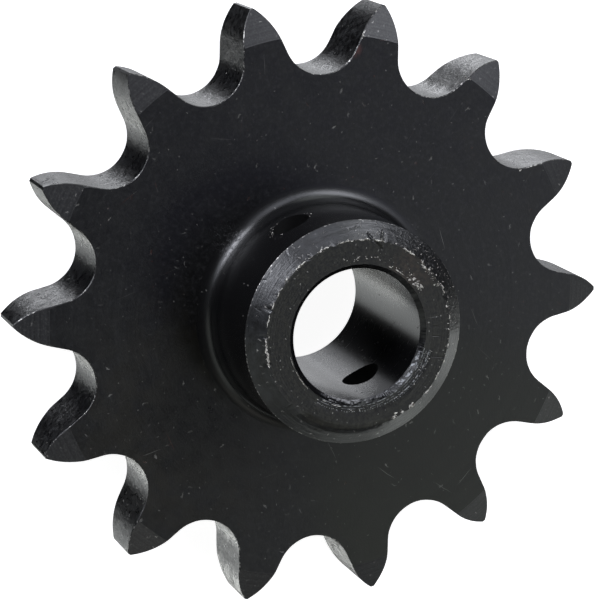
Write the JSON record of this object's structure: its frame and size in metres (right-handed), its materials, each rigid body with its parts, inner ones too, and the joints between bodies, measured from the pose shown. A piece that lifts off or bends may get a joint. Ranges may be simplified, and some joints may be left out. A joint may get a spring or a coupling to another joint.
{
  "type": "chain sprocket",
  "caption": "Black-oxide steel roller-chain sprocket: a thick toothed plate with a short round hub on one side, a plain bore and a pin hole across the hub.",
  "frame": {"origin": "on the bore's axis, in the plane of the toothed plate's back face, which the part lies on", "axes": "+Z along the bore from the plate towards the hub's end; +X through the middle of a tooth gap and along the cross hole in the hub; +Y through the tip of a tooth"},
  "size_m": [0.1252, 0.1282, 0.04],
  "materials": {
    "black_oxide_steel": "black oxide over turned and milled steel, satin, worn to grey on the chamfers and in the tooth gaps"
  },
  "bodies": {
    "root": {"sprocket": "black_oxide_steel"}
  },
  "joints": []
}
